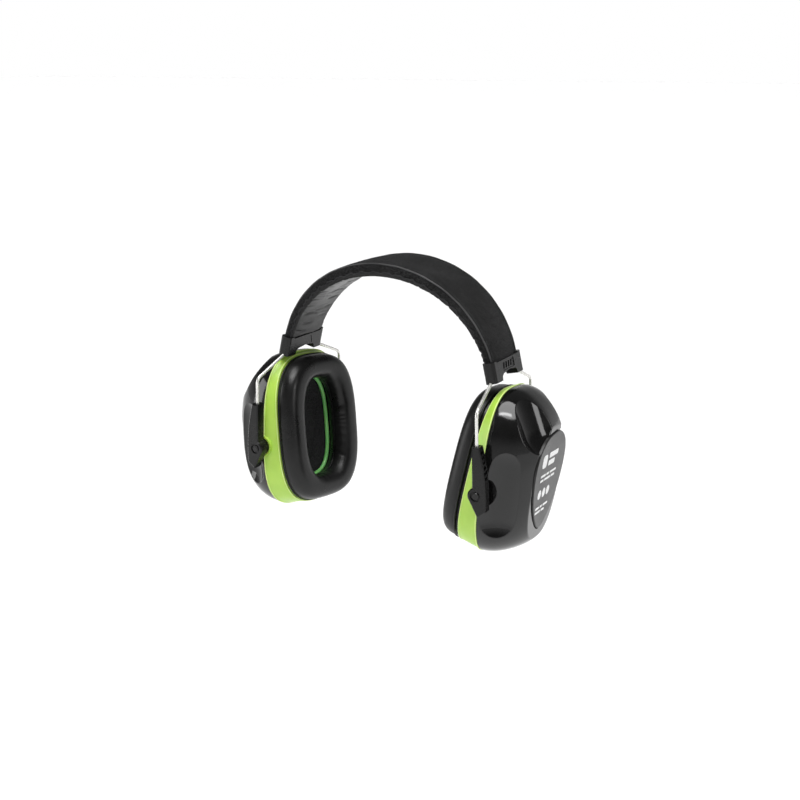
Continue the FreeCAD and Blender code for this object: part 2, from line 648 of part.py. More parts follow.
def make_ring(side):
    """The coloured wedge ring: an outer wall and a flange that the cushion plate clips to."""
    face, gap, wall = size("ring_face"), size("joint_gap"), size("ring_wall")
    height, width = size("ring_height"), size("ring_width")
    outer = Part.makeLoft([face_oval(side, height, width, face), joint_oval(side, 0, -gap)], True, True)
    rims = [edge for edge in outer.Edges if edge.Length > 4 * height]
    outer = outer.makeFillet(size("ring_edge"), rims)
    inner = Part.makeLoft([face_oval(side, height - wall, width - wall, face + size("flange_thick")),
                           joint_oval(side, wall, 0.5)], True, True)
    opening = slab(side, size("flange_height"), size("flange_half_width"), face - 1, 2)
    notch = pin_cylinder(size("pad_disc_radius") + 0.3, 30, 60)
    lip = pin_cylinder(size("pad_disc_radius") + size("lip_width"), 38.0, size("joint_width") + 0.6)
    shape = outer.fuse(lip.common(ring_room(side))).cut(inner).cut(opening).cut(notch)
    listed(computed("ring", shape.removeSplitter(), cup_frame(side)), SIDE_NAME[side] + "_ring")


SHELL_SECTIONS = (  # outward distance, top, foot, half width, lean, power, narrowing at the foot
    (9.0, 54.8, -46.0, 39.8, 5.0, 3.0, 0.0),
    (17.0, 50.4, -42.0, 36.8, 4.2, 3.0, 0.02),
    (23.2, 45.2, -37.6, 32.4, 4.0, 2.9, 0.05),
    (27.4, 39.6, -33.2, 27.6, 4.0, 2.8, 0.08),
)


def shell_loft(side, inset, foot_shift, depth_inset):
    """The shell's smooth outer form, or the same form drawn in by the wall's thickness."""
    wires = [joint_oval(side, inset, foot_shift)]
    for out, top, foot, half_width, lean, power, narrowing in SHELL_SECTIONS:
        centre = (top + foot) / 2
        wire = oval((top - foot) / 2 - inset, half_width - inset, centre, power, narrowing)
        wires.append(standing(wire, side, out - depth_inset, lean))
    return Part.makeLoft(wires, True, False)


def made_by(faces, radius):
    """Edges of the faces that the bowls of that radius left."""
    cut = [face for face in faces
           if isinstance(face.Surface, (Part.Sphere, Part.Cylinder))
           and abs(face.Surface.Radius - radius) < 0.01]
    return [edge for face in cut for edge in face.Edges]


def make_shell(side):
    """The gloss outer cup: hollow, with hollowed corners, side recesses and a sunk badge seat."""
    outer = shell_loft(side, 0, 0, 0)
    rim = max(outer.Edges, key=lambda edge: side * edge.CenterOfMass.x)
    outer = outer.makeFillet(size("face_edge"), [rim])
    for tool in scallops(side):
        outer = outer.cut(tool)
    outer = outer.makeFillet(size("scallop_edge"), made_by(outer.Faces, size("scallop_radius")))
    for tool in scoops(side):
        outer = outer.cut(tool)
    outer = outer.makeFillet(size("scoop_edge"), made_by(outer.Faces, size("scoop_radius")))
    seat = Part.Face(shield(side, size("face_out") - size("badge_recess")))
    outer = outer.cut(seat.extrude(face_normal(side) * 10))
    reach, radius = size("relief_reach"), size("relief_radius")
    relief = pin_cylinder(radius, reach - 2, reach).cut(ring_room(side))
    outer = outer.fuse(relief).cut(pin_cylinder(radius, reach, 60))
    wall = size("wall_thick")
    cavity = shell_loft(side, wall, -3.0, wall + 1.2)
    for tool in scallops(side, wall) + scoops(side, wall):
        cavity = cavity.cut(tool)
    disc = pin_cylinder(size("pad_disc_radius"), 34.0, size("pad_disc_reach"))
    bore = pin_cylinder(size("pin_radius") + size("bore_clearance"), 30.0, 60.0)
    bore_end = pin_cylinder(size("pad_disc_radius") + 1, 30.0, size("pin_inner_reach") - 0.3)
    shape = outer.cut(cavity).fuse(disc).cut(bore.cut(bore_end))
    listed(computed("shell", shape, cup_frame(side)), SIDE_NAME[side] + "_shell")


def make_badge(side):
    """The satin plate that fills the seat on the shell's outer face."""
    seat = size("face_out") - size("badge_recess") + 0.02
    thick = face_normal(side) * size("badge_thick")
    plate = Part.Face(shield(side, seat, size("badge_gap"))).extrude(thick)
    crown = max(plate.Edges, key=lambda edge: side * edge.CenterOfMass.x)
    plate = plate.makeFillet(size("badge_edge"), [crown])
    listed(computed("badge", plate, cup_frame(side)), SIDE_NAME[side] + "_badge")


def make_foam_liner(side):
    """The sound-absorbing foam that lies in the cup, dished in the middle."""
    front = size("liner_front")
    block = slab(side, size("liner_height"), size("liner_width"), front, size("liner_back"))
    dish = slab(side, size("dish_height"), size("dish_width"), front - 1, front + 6)
    listed(computed("liner", block.cut(dish), cup_frame(side)), SIDE_NAME[side] + "_foam_liner")


def make_cushion(side):
    """The replaceable cushion: a rigid plate, a foam ring and the leatherette cover over it."""
    face = size("ring_face") - 0.05
    back = face - size("plate_thick")
    front = back - size("cushion_thick")
    plate = slab(side, size("plate_height"), size("plate_width"), face, back)
    plate = plate.cut(slab(side, size("plate_opening_height"), size("plate_opening_width"), 0, -30))
    listed(computed("plate", plate, cup_frame(side)), SIDE_NAME[side] + "_cushion_plate")

    def cushion_ring(inset, back_x, front_x, edge_radius):
        ring = slab(side, size("cushion_height") - inset, size("cushion_width") - inset, back_x, front_x)
        hole = slab(side, size("ear_opening_height") + inset, size("ear_opening_width") + inset, 0, -40)
        ring = ring.cut(hole)
        rims = [edge for edge in ring.Edges
                if abs(edge.CenterOfMass.x - side * front_x) < 0.01 and edge.Length > 20]
        return ring.makeFillet(edge_radius, rims)

    skin = size("cushion_skin")
    outer = cushion_ring(0, back - 0.02, front, size("cushion_edge"))
    foam = cushion_ring(skin, back - 0.05, front + skin, size("cushion_edge") - skin)
    space = cushion_ring(skin - 0.02, back + 1, front + skin - 0.02, size("cushion_edge") - skin)
    listed(computed("cover", outer.cut(space), cup_frame(side)), SIDE_NAME[side] + "_cushion_cover")
    listed(computed("foam", foam, cup_frame(side)), SIDE_NAME[side] + "_cushion_foam")


# ---------------------------------------------------------------- the whole object

bores = make_headband()
for side in (LEFT, RIGHT):
    make_bracket(side, bores)
    for end in (FRONT, REAR):
        make_arm(side, end)
        make_pin(side, end)
    make_ring(side)
    make_shell(side)
    make_badge(side)
    make_foam_liner(side)
    make_cushion(side)
doc.recompute()

for item in doc.Objects:
    if "Invalid" in item.State or "Error" in item.State:
        raise ValueError(f"{item.Label} did not compute: {item.State}")
os.makedirs("parts", exist_ok=True)
for item in sub_parts:
    shape = item.Shape
    if shape.isNull() or not shape.isValid():
        raise ValueError(f"{item.Label} has no valid shape")
    print(f"{item.Label:24s} solids {len(shape.Solids)} volume {shape.Volume / 1000:8.2f} cm3")
    shape.exportStep(f"parts/{item.Label}.step")
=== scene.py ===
"""Looks for the earmuff hearing protector: soft goods, trims, materials, studio and camera."""
import json
import math
import random

import bmesh
import bpy
from mathutils import Matrix, Vector, noise


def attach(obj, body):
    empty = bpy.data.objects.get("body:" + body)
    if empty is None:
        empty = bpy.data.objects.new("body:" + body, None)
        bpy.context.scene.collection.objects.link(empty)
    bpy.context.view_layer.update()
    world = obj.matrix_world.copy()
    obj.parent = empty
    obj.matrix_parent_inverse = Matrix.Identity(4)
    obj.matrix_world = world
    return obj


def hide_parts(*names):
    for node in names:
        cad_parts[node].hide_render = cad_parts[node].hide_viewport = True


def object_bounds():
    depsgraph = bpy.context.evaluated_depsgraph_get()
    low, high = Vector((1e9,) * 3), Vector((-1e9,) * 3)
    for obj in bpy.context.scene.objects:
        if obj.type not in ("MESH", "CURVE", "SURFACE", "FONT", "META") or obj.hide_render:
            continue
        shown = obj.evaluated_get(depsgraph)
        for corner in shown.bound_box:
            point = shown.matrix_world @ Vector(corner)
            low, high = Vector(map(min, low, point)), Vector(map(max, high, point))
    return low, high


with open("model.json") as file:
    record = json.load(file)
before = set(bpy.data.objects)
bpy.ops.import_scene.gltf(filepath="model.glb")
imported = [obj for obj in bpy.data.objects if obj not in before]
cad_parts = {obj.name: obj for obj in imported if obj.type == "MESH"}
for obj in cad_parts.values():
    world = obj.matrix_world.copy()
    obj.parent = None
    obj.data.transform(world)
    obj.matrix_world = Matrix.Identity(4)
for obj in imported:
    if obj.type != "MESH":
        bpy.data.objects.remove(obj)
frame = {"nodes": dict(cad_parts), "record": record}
cad_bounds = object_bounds()

MM = 0.001
LEFT, RIGHT = -1, 1
SIDE_NAME = {LEFT: "left", RIGHT: "right"}
SIDES = (LEFT, RIGHT)
BAND_EDGES = ((-1, "front"), (1, "rear"))

# Headband, millimetres, the same driving sizes as the CAD part
CROWN_WIDTH, END_WIDTH, TAPER_TOP, TAPER_FOOT = 45.0, 36.0, 8.8, -48.0
BAND_THICK, END_THICK, PAD_THICK, END_PAD_THICK = 8.8, 5.6, 3.0, 1.4
CROWN_RADIUS, SHOULDER_RADIUS = 82.5, 74.0
CROWN_ANGLE, SHOULDER_ANGLE = math.radians(26), math.radians(77)
BAND_TAIL, PAD_TAIL = 3.5, -4.0

# Headband's sewn detail, millimetres
COVER_TOP_ROUND, COVER_FOOT_ROUND, COVER_CROWN, COVER_RIPPLE = 1.7, 0.7, 0.55, 0.10
COVER_FACE_DEPTH, COVER_STEP, PAD_STEP = 0.9, 1.2, 0.7
PAD_INSET, PAD_BULGE, PAD_TOP_ROUND, PAD_FOOT_ROUND = 0.25, 0.5, 0.25, 2.2
FOLD_PITCH, FOLD_DEPTH, FINE_FOLD_PITCH, FINE_FOLD_DEPTH, PAD_SAG = 8.6, 0.75, 4.1, 0.35, 0.30
SEAM_RADIUS, SEAM_STEPS, PIPING_RADIUS, PIPING_INSET = 0.5, 480, 0.5, 0.55
STITCH_INSET, STITCH_GROOVE, STITCH_DENT_WIDTH = 3.4, 0.45, 0.75
STITCH_PITCH, STITCH_LENGTH, THREAD_RADIUS = 3.3, 2.5, 0.26

# Ear cup, millimetres, in its own frame; the cushion, sleeve, inner bead and foam are sized for the look
CUP_CENTRE, OUTLINE_POWER = 3.3, 3.0
RING_FACE, RING_HALVES = -11.4, (49.9, 37.5)
JOINT_FACE, JOINT_HALVES, WEDGE_ANGLE = -1.2, (52.0, 40.4), math.radians(6.15)
CUSHION_BACK, CUSHION_THICK = -13.3, 11.4
CUSHION_HALVES, OPENING_HALVES = (48.9, 38.4), (32.4, 19.4)
SLEEVE_END, SLEEVE_HALVES = -8.8, (33.8, 22.6)
INNER_BEAD_PLACE, INNER_BEAD_RADIUS, INNER_BEAD_HALVES = -5.5, 1.35, (34.4, 23.0)
LINER_HALVES, DISH_HALVES = (44.0, 32.4), (33.0, 22.0)
LINER_FRONT, LINER_BACK, DISH_DEPTH = -3.4, 5.0, 3.6
BADGE_OUT, BADGE_THICK, FACE_LEAN = 26.42, 1.9, math.radians(4.0)

# Cushion skin: points round the ring, over the crown and across the back, and sizes in millimetres
SKIN_AROUND, SKIN_ACROSS, SKIN_BACK = 176, 26, 5
PLEAT_DEPTH, OUTER_RIPPLE, SLOW_DENT = 0.62, 0.05, 0.16
SIMULATED_START, SKIN_TRAVEL, EVENING_PASSES = 0.98, 0.8, 6
AIR_PRESSURE, SKIN_MASS, SIMULATED_FRAMES = 4.0, 0.2, 20
SKIN_STIFFNESS, SKIN_SHEAR, SKIN_BENDING = 25, 12, 8
WELD_RADIUS, WELD_INSET, RING_BEAD_RADIUS = 0.42, 0.45, 0.42
SLEEVE_WALL, SLEEVE_AROUND, BEAD_AROUND, RING_BEAD_AROUND = 0.35, 160, 200, 220
LINER_AROUND, LINER_RINGS, LINER_EDGE_ROUND, LINER_LUMP, LINER_CELL = 120, 30, 1.6, 0.55, 0.22

# Badge print, millimetres: plain shapes only, as across, up, width, height and corner radius
PRINT_BLOCKS = ((-14.0, 19.0, 8.4, 8.4, 2.2), (2.0, 21.6, 17.0, 3.4, 0.0), (-0.5, 16.6, 12.0, 3.4, 0.0))
PRINT_ROWS = ((9.6, (9, 5, 12)), (6.6, (6, 11, 7)), (-11.4, (7, 4, 9)), (-14.4, (10, 6)))
ROW_START, ROW_SHIFT, ROW_HEIGHT, ROW_GAP = -17.0, 0.35, 1.5, 1.6
PRINT_SPOTS, SPOT_UP, SPOT_SIZE, SPOT_CORNER = (-13.5, -5.5, 2.5), -2.4, 6.0, 2.9
PRINT_SUNK, PRINT_PROUD = 0.1, 0.07


# ---------------------------------------------------------------- mesh helpers

def add_mesh(name, vertices, faces, uvs=None):
    """A smooth-shaded object from vertices in metres, with one UV per vertex if given."""
    mesh = bpy.data.meshes.new(name)
    mesh.from_pydata(vertices, [], faces)
    if uvs:
        layer = mesh.uv_layers.new(name="cloth")
        for loop in mesh.loops:
            layer.data[loop.index].uv = uvs[loop.vertex_index]
    mesh.shade_smooth()
    piece = bpy.data.objects.new(name, mesh)
    bpy.context.scene.collection.objects.link(piece)
    return piece


def recalculate(piece):
    """Turns all faces outward."""
    shape = bmesh.new()
    shape.from_mesh(piece.data)
    bmesh.ops.recalc_face_normals(shape, faces=shape.faces)
    shape.to_mesh(piece.data)
    shape.free()


def tube_grid(rows, closed_rows):
    """Faces of a grid whose rows are closed loops; the rows join up or are capped at both ends."""
    count, across = len(rows), len(rows[0])
    vertices = [point for row in rows for point in row]
    faces = []
    last = count if closed_rows else count - 1
    for i in range(last):
        here, there = i * across, (i + 1) % count * across
        for j in range(across):
            k = (j + 1) % across
            faces.append((here + j, here + k, there + k, there + j))
    if not closed_rows:
        for row, turn in ((0, 1), (count - 1, -1)):
            middle = len(vertices)
            vertices.append(sum(rows[row], Vector()) / across)
            for j in range(across):
                k = (j + 1) % across
                faces.append((middle, row * across + j, row * across + k)[::turn])
    return vertices, faces


def tube_along(name, points, radius, closed=False, sides=8):
    """A round bead along the points."""
    rows = []
    count = len(points)
    side_axis = None
    for i, point in enumerate(points):
        ahead = points[(i + 1) % count] if closed or i < count - 1 else point
        behind = points[i - 1] if closed or i else point
        along = (ahead - behind).normalized()
        if side_axis is None:
            side_axis = along.orthogonal().normalized()
        side_axis = (side_axis - along * side_axis.dot(along)).normalized()
        up = along.cross(side_axis)
        rows.append([point + (side_axis * math.cos(a) + up * math.sin(a)) * radius
                     for a in (2 * math.pi * step / sides for step in range(sides))])
    vertices, faces = tube_grid(rows, closed)
    piece = add_mesh(name, vertices, faces)
    recalculate(piece)
    return piece


def smooth_step(low, high, value):
    share = min(max((value - low) / (high - low), 0.0), 1.0)
    return share * share * (3 - 2 * share)


# ---------------------------------------------------------------- the headband's curve

def band_place(angle, depth, across):
    """A point of the band: angle from the crown, depth under the outer face, and distance across."""
    side = -1 if angle < 0 else 1
    turn = abs(angle)
    over = max(turn - SHOULDER_ANGLE, 0.0) * SHOULDER_RADIUS
    turn = min(turn, SHOULDER_ANGLE)
    centre_x, centre_z = 0.0, BAND_THICK - CROWN_RADIUS
    radius = CROWN_RADIUS
    if turn > CROWN_ANGLE:
        centre_x += math.sin(CROWN_ANGLE) * (CROWN_RADIUS - SHOULDER_RADIUS)
        centre_z += math.cos(CROWN_ANGLE) * (CROWN_RADIUS - SHOULDER_RADIUS)
        radius = SHOULDER_RADIUS
    x = centre_x + math.sin(turn) * (radius - depth) + math.cos(turn) * over
    z = centre_z + math.cos(turn) * (radius - depth) - math.sin(turn) * over
    return Vector((side * x, across, z)) * MM


def along_band(crown, end, angle):
    """A size that changes from the crown to the band's ends."""
    share = min(abs(angle) / SHOULDER_ANGLE, 1.0)
    return crown + (end - crown) * share ** 1.5


def half_width(angle):
    height = band_place(angle, 0, 0).z / MM
    share = min(max((TAPER_TOP - height) / (TAPER_TOP - TAPER_FOOT), 0.0), 1.0)
    return (CROWN_WIDTH + (END_WIDTH - CROWN_WIDTH) * share) / 2


def joint_depth(angle):
    """Depth of the line where the cover meets the pad."""
    return along_band(BAND_THICK - PAD_THICK, END_THICK - END_PAD_THICK, angle)


def rounded_box(half, top, bottom, top_radius, bottom_radius, arc_steps=5, flat_steps=18):
    """Outline (across, depth) of a rounded rectangle: the top from left to right, then back below."""
    outline = []
    corners = ((half - top_radius, top + top_radius, top_radius, -90),
               (half - bottom_radius, bottom - bottom_radius, bottom_radius, 0),
               (bottom_radius - half, bottom - bottom_radius, bottom_radius, 90),
               (top_radius - half, top + top_radius, top_radius, 180))
    for number, (across, depth, radius, start) in enumerate(corners):
        for step in range(arc_steps + 1):
            angle = math.radians(start + 90 * step / arc_steps)
            outline.append((across + radius * math.cos(angle), depth + radius * math.sin(angle)))
        if number in (1, 3):
            begin = outline[-1]
            stop = (corners[(number + 1) % 4][0], begin[1])
            for step in range(1, flat_steps):
                share = step / flat_steps
                outline.append((begin[0] + (stop[0] - begin[0]) * share, begin[1]))
    return outline


def band_strip(name, last_angle, step_mm, section):
    """A closed strip along the band; section(angle) gives its outline as (across, depth)."""
    steps = int(2 * last_angle * SHOULDER_RADIUS / step_mm)
    rows, uvs = [], []
    for i in range(steps + 1):
        angle = last_angle * (2 * i / steps - 1)
        outline = section(angle)
        rows.append([band_place(angle, depth, across) for across, depth in outline])
        travelled = 0.0
        for number, (across, depth) in enumerate(outline):
            if number:
                travelled += math.dist(outline[number - 1], (across, depth))
            uvs.append((angle * CROWN_RADIUS * MM, travelled * MM))
    vertices, faces = tube_grid(rows, False)
    uvs += [uvs[0], uvs[-1]]
    piece = add_mesh(name, vertices, faces, uvs)
    recalculate(piece)
    return piece


def crown_rise(across, half):
    """Height of the cover's soft crown at a distance across."""
    return COVER_CROWN * (1 - (across / half) ** 2)


def cover_section(angle):
    """The fabric cover: a soft crown, rolled edges and a dent along each line of stitches."""
    half = half_width(angle)
    outline = []
    for across, depth in rounded_box(half, 0.0, joint_depth(angle), COVER_TOP_ROUND, COVER_FOOT_ROUND):
        if depth < COVER_FACE_DEPTH:
            from_line = abs(across) - (half - STITCH_INSET)
            dent = STITCH_GROOVE * math.exp(-(from_line / STITCH_DENT_WIDTH) ** 2)
            ripple = COVER_RIPPLE * noise.noise(Vector((angle * 9, across * 0.12, 3.0)))
            depth += dent - crown_rise(across, half) + ripple
        outline.append((across, depth))
    return outline


def pad_wrinkle(angle, across):
    """Depth of the leatherette's cross folds: uneven creases that slant, fork and fade out."""
    run = angle * CROWN_RADIUS
    drift = 5.5 * noise.noise(Vector((run * 0.050, across * 0.060, 7.0)))
    slanted = run + drift + 0.22 * across
    fold = max(1 - abs(math.sin(slanted * math.pi / FOLD_PITCH)) * 2.2, 0.0)
    fine = max(1 - abs(math.sin((slanted - 1.8 * drift) * math.pi / FINE_FOLD_PITCH)) * 2.8, 0.0)
    patch = smooth_step(-0.25, 0.35, noise.noise(Vector((run * 0.045, across * 0.07, 1.0))))
    fork = smooth_step(-0.20, 0.30, noise.noise(Vector((run * 0.09, across * 0.05, 4.0))))
    creased = 0.15 + 0.85 * smooth_step(math.radians(6), math.radians(30), abs(angle))
    sag = PAD_SAG * noise.noise(Vector((run * 0.11, across * 0.05, 9.0)))
    return creased * (FOLD_DEPTH * fold * patch + FINE_FOLD_DEPTH * fine * fork + sag)


def pad_section(angle):
    """The padding strip: full rounded edges and creases across its underside."""
    half = half_width(angle) - PAD_INSET
    top = joint_depth(angle) + 0.05
    bottom = along_band(BAND_THICK, END_THICK, angle)
    round_bottom = min(PAD_FOOT_ROUND, (bottom - top) * 0.75)
    outline = []
    for across, depth in rounded_box(half, top, bottom, PAD_TOP_ROUND, round_bottom, 6, 30):
        if depth > top + 0.5:
            share = (depth - top) / (bottom - top)
            bulge = PAD_BULGE * (1 - (across / half) ** 2)
            depth += share * (bulge - pad_wrinkle(angle, across))
        outline.append((across, depth))
    return outline


def make_cover_and_pad():
    """The woven cover and the leatherette pad under it."""
    cover_end = SHOULDER_ANGLE + BAND_TAIL / SHOULDER_RADIUS
    pad_end = SHOULDER_ANGLE + PAD_TAIL / SHOULDER_RADIUS
    cover = band_strip("band_cover", cover_end, COVER_STEP, cover_section)
    dress(cover, "headband", "band_fabric")
    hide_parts("headband_cover", "headband_core")
    pad = band_strip("band_pad", pad_end, PAD_STEP, pad_section)
    dress(pad, "headband", "band_pad")
    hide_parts("headband_pad")


def seam_angles():
    """Evenly spaced angles along the pad."""
    pad_end = SHOULDER_ANGLE + PAD_TAIL / SHOULDER_RADIUS
    return [pad_end * (i / (SEAM_STEPS / 2) - 1) for i in range(SEAM_STEPS + 1)]


def make_seams():
    """The uneven seams at front and rear, where the cover meets the pad."""
    chooser = random.Random(11)
    for end, label in BAND_EDGES:
        wave = chooser.uniform(0, math.pi)
        points = []
        for angle in seam_angles():
            run = angle * CROWN_RADIUS
            long_sway = 0.42 * math.sin(run * 2 * math.pi / 9.5 + wave)
            short_sway = 0.25 * math.sin(run * 2 * math.pi / 4.3)
            depth = joint_depth(angle) + 0.1 + (long_sway + short_sway)
            points.append(band_place(angle, depth, end * (half_width(angle) - 0.1)))
        seam = tube_along(f"band_{label}_seam", points, SEAM_RADIUS * MM)
        dress(seam, "headband", "thread")


def make_piping():
    """The rolled piping along both upper edges of the cover, in a leatherette painted much lighter than the
    pad: a painted highlight line.
    """
    for end, label in BAND_EDGES:
        points = []
        for angle in seam_angles():
            depth = 0.5 + 0.06 * math.sin(angle * 31)
            points.append(band_place(angle, depth, end * (half_width(angle) - PIPING_INSET)))
        piping_highlight = tube_along(f"band_{label}_piping", points, PIPING_RADIUS * MM)
        dress(piping_highlight, "headband", "piping_highlight")


def one_stitch(end, number, middle):
    """Rows of points of one thread loop that dips into the cover at both ends."""
    rows = []
    for step in range(9):
        share = step / 8 - 0.5
        angle = (middle + share * STITCH_LENGTH) / CROWN_RADIUS
        half = half_width(angle)
        across = end * (half - STITCH_INSET + 0.08 * math.sin(number * 2.4))
        rise = 0.16 * math.cos(share * math.pi) - 0.12
        centre = band_place(angle, STITCH_GROOVE - crown_rise(across, half) - rise, across)
        normal = (band_place(angle, 0, across) - band_place(angle, 1, across)).normalized()
        thick = THREAD_RADIUS * MM * math.sqrt(max(1 - (2 * share) ** 4, 0.02))
        rows.append([centre + (normal * math.cos(a) + Vector((0, 1, 0)) * math.sin(a)) * thick
                     for a in (2 * math.pi * k / 8 for k in range(8))])
    return rows


def make_stitches():
    """A line of separate stitches inside each edge of the cover."""
    reach = (SHOULDER_ANGLE - 0.05) * CROWN_RADIUS
    count = int(2 * reach / STITCH_PITCH)
    for end, label in BAND_EDGES:
        vertices, faces = [], []
        for number in range(count):
            middle = -reach + (number + 0.5) * 2 * reach / count
            stitch_vertices, stitch_faces = tube_grid(one_stitch(end, number, middle), False)
            offset = len(vertices)
            vertices += stitch_vertices
            faces += [tuple(index + offset for index in face) for face in stitch_faces]
        stitches = add_mesh(f"band_{label}_stitches", vertices, faces)
        recalculate(stitches)
        dress(stitches, "headband", "thread")


# ---------------------------------------------------------------- ear cups

def named(rows, name):
    """The record's row with that name."""
    return next(row for row in rows if row["name"] == name)


class Cup:
    """One cup's frame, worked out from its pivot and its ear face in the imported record."""

    def __init__(self, side):
        self.side = side
        self.name = SIDE_NAME[side]
        self.body = self.name + "_cup"
        hinge = named(frame["record"]["behaviour"]["joints"], self.name + "_cup_tilt")
        face = named(frame["record"]["mounts"], self.name + "_ear_face")
        self.pivot = Vector(hinge["pos_m"])
        x_axis = Vector(face["axis"]).normalized() * -side
        y_axis = Vector(hinge["axis"]).normalized() * side
        z_axis = x_axis.cross(y_axis)
        self.turn = Matrix((x_axis, y_axis, z_axis)).transposed()
        reach = self.turn.transposed() @ (Vector(face["pos_m"]) - self.pivot)
        self.pitch = Matrix.Rotation(-math.atan2(reach.y, reach.z), 3, "X")

    def at(self, out, across, up):
        """A point in the world from millimetres outward, across and up in the pitched cup."""
        local = self.pitch @ Vector((self.side * out, across, up))
        return self.pivot + self.turn @ (local * MM)

    def leaning(self, out, across, up, lean, centre):
        """A point on a plane that leans about the cup's Y direction."""
        turned = Matrix.Rotation(-self.side * lean, 3, "Y") @ Vector((0, across, up - centre))
        return self.at(out + self.side * turned.x, turned.y, centre + turned.z)


def oval(halves, angle, power=OUTLINE_POWER):
    """(across, up) on the cup's rounded outline."""
    across, up = math.cos(angle), math.sin(angle)
    reach = (abs(across / halves[1]) ** power + abs(up / halves[0]) ** power) ** (-1 / power)
    return reach * across, CUP_CENTRE + reach * up


def cushion_profile(share):
    """Section of the ear cushion at 0 to 1 from its outer back edge over the front to the inner one."""
    angle = math.pi * share
    wide = math.copysign(abs(math.cos(angle)) ** 0.72, math.cos(angle))
    return wide, abs(math.sin(angle)) ** 0.80


def opening_folds(angle, phase):
    """Pleats of the leatherette where it is gathered round the ear opening."""
    lines = angle * 15 + 1.9 * math.sin(3 * angle + phase) + 1.2 * math.sin(7 * angle - phase)
    pleat = (1 - abs(math.sin(lines))) ** 2
    return pleat * (0.55 + 0.45 * math.sin(2 * angle + 1.3 * phase) ** 2)


def inflate(piece, pinned, limit):
    """Lets air pressure fill the skin as cloth, holds its back edges, then evens and caps the travel."""
    before = [vertex.co.copy() for vertex in piece.data.vertices]
    group = piece.vertex_groups.new(name="held")
    group.add(pinned, 1.0, "REPLACE")
    cloth = piece.modifiers.new("skin", "CLOTH")
    settings = cloth.settings
    settings.use_pressure = True
    settings.uniform_pressure_force = AIR_PRESSURE
    settings.vertex_group_mass = "held"
    settings.effector_weights.gravity = 0
    settings.mass = SKIN_MASS
    settings.tension_stiffness = SKIN_STIFFNESS
    settings.compression_stiffness = SKIN_STIFFNESS
    settings.shear_stiffness = SKIN_SHEAR
    settings.bending_stiffness = SKIN_BENDING
    cloth.collision_settings.use_self_collision = False
    cloth.point_cache.frame_start = 1
    cloth.point_cache.frame_end = SIMULATED_FRAMES
    scene = bpy.context.scene
    for number in range(1, SIMULATED_FRAMES + 1):
        scene.frame_set(number)
    shape = piece.evaluated_get(bpy.context.evaluated_depsgraph_get()).data
    after = [vertex.co.copy() for vertex in shape.vertices]
    piece.modifiers.remove(cloth)
    scene.frame_set(1)
    travels = [end - start for start, end in zip(before, after)]
    neighbours = [[] for _ in before]
    for edge in piece.data.edges:
        first, second = edge.vertices
        neighbours[first].append(second)
        neighbours[second].append(first)
    for _ in range(EVENING_PASSES):
        travels = [(travel + sum((travels[k] for k in near), Vector()) / len(near)) / 2
                   for travel, near in zip(travels, neighbours)]
    for vertex, start, travel in zip(piece.data.vertices, before, travels):
        if travel.length > limit:
            travel = travel * (limit / travel.length)
        vertex.co = start + travel
    piece.vertex_groups.remove(group)


def cushion_grid(cup, start_share):
    """Rows of points over the crown and back across the flat rear, all round the ring."""
    rows = []
    for i in range(SKIN_AROUND):
        angle = 2 * math.pi * i / SKIN_AROUND
        outer, inner = oval(CUSHION_HALVES, angle), oval(OPENING_HALVES, angle)
        row = []
        for j in range(SKIN_ACROSS + 1):
            wide, high = cushion_profile(j / SKIN_ACROSS)
            share = 0.5 + 0.5 * wide * start_share
            y = inner[0] + (outer[0] - inner[0]) * share
            z = inner[1] + (outer[1] - inner[1]) * share
            row.append(cup.at(CUSHION_BACK - CUSHION_THICK * high * start_share, y, z))
        for j in range(1, SKIN_BACK):
            row.append(row[SKIN_ACROSS].lerp(row[0], j / SKIN_BACK))
        rows.append(row)
    return rows


def pleat(cushion, cup, phase):
    """Pleats the skin's inner wall and gives its crown slow dents."""
    width = SKIN_ACROSS + SKIN_BACK
    outward = cup.turn @ cup.pitch @ Vector((cup.side, 0, 0))
    middle = cup.at(CUSHION_BACK, 0, CUP_CENTRE)
    for i in range(SKIN_AROUND):
        angle = 2 * math.pi * i / SKIN_AROUND
        for j in range(SKIN_ACROSS + 1):
            vertex = cushion.data.vertices[i * width + j]
            share = j / SKIN_ACROSS
            radial = vertex.co - middle
            radial = (radial - outward * radial.dot(outward)).normalized()
            inner_wall = smooth_step(0.52, 0.80, share) * (1 - smooth_step(0.96, 1.0, share))
            outer_wall = smooth_step(0.02, 0.10, share) * (1 - smooth_step(0.22, 0.5, share))
            folds = PLEAT_DEPTH * opening_folds(angle, phase) * inner_wall
            ripple = OUTER_RIPPLE * opening_folds(angle * 0.7 + 1, phase + 2) * outer_wall
            drift = noise.noise(vertex.co * 40) * SLOW_DENT * math.sin(math.pi * share)
            vertex.co += (radial * (folds - ripple) + outward * drift) * MM


def make_cushion(cup):
    """The sealing cushion: an inflated leatherette ring with pleats inside and a welded rim."""
    phase = 0.7 if cup.side == LEFT else 2.1
    start_share = SIMULATED_START
    vertices, faces = tube_grid(cushion_grid(cup, start_share), True)
    cushion = add_mesh(cup.name + "_cushion", vertices, faces)
    recalculate(cushion)
    width = SKIN_ACROSS + SKIN_BACK
    held = [i * width + j for i in range(SKIN_AROUND) for j in range(width)
            if j == 0 or j >= SKIN_ACROSS]
    inflate(cushion, held, SKIN_TRAVEL * MM)
    pleat(cushion, cup, phase)
    smoother = cushion.modifiers.new("finer", "SUBSURF")
    smoother.levels = 1
    smoother.render_levels = 1
    dress(cushion, cup.body, "cushion_skin")
    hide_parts(cup.name + "_cushion_cover", cup.name + "_cushion_foam")


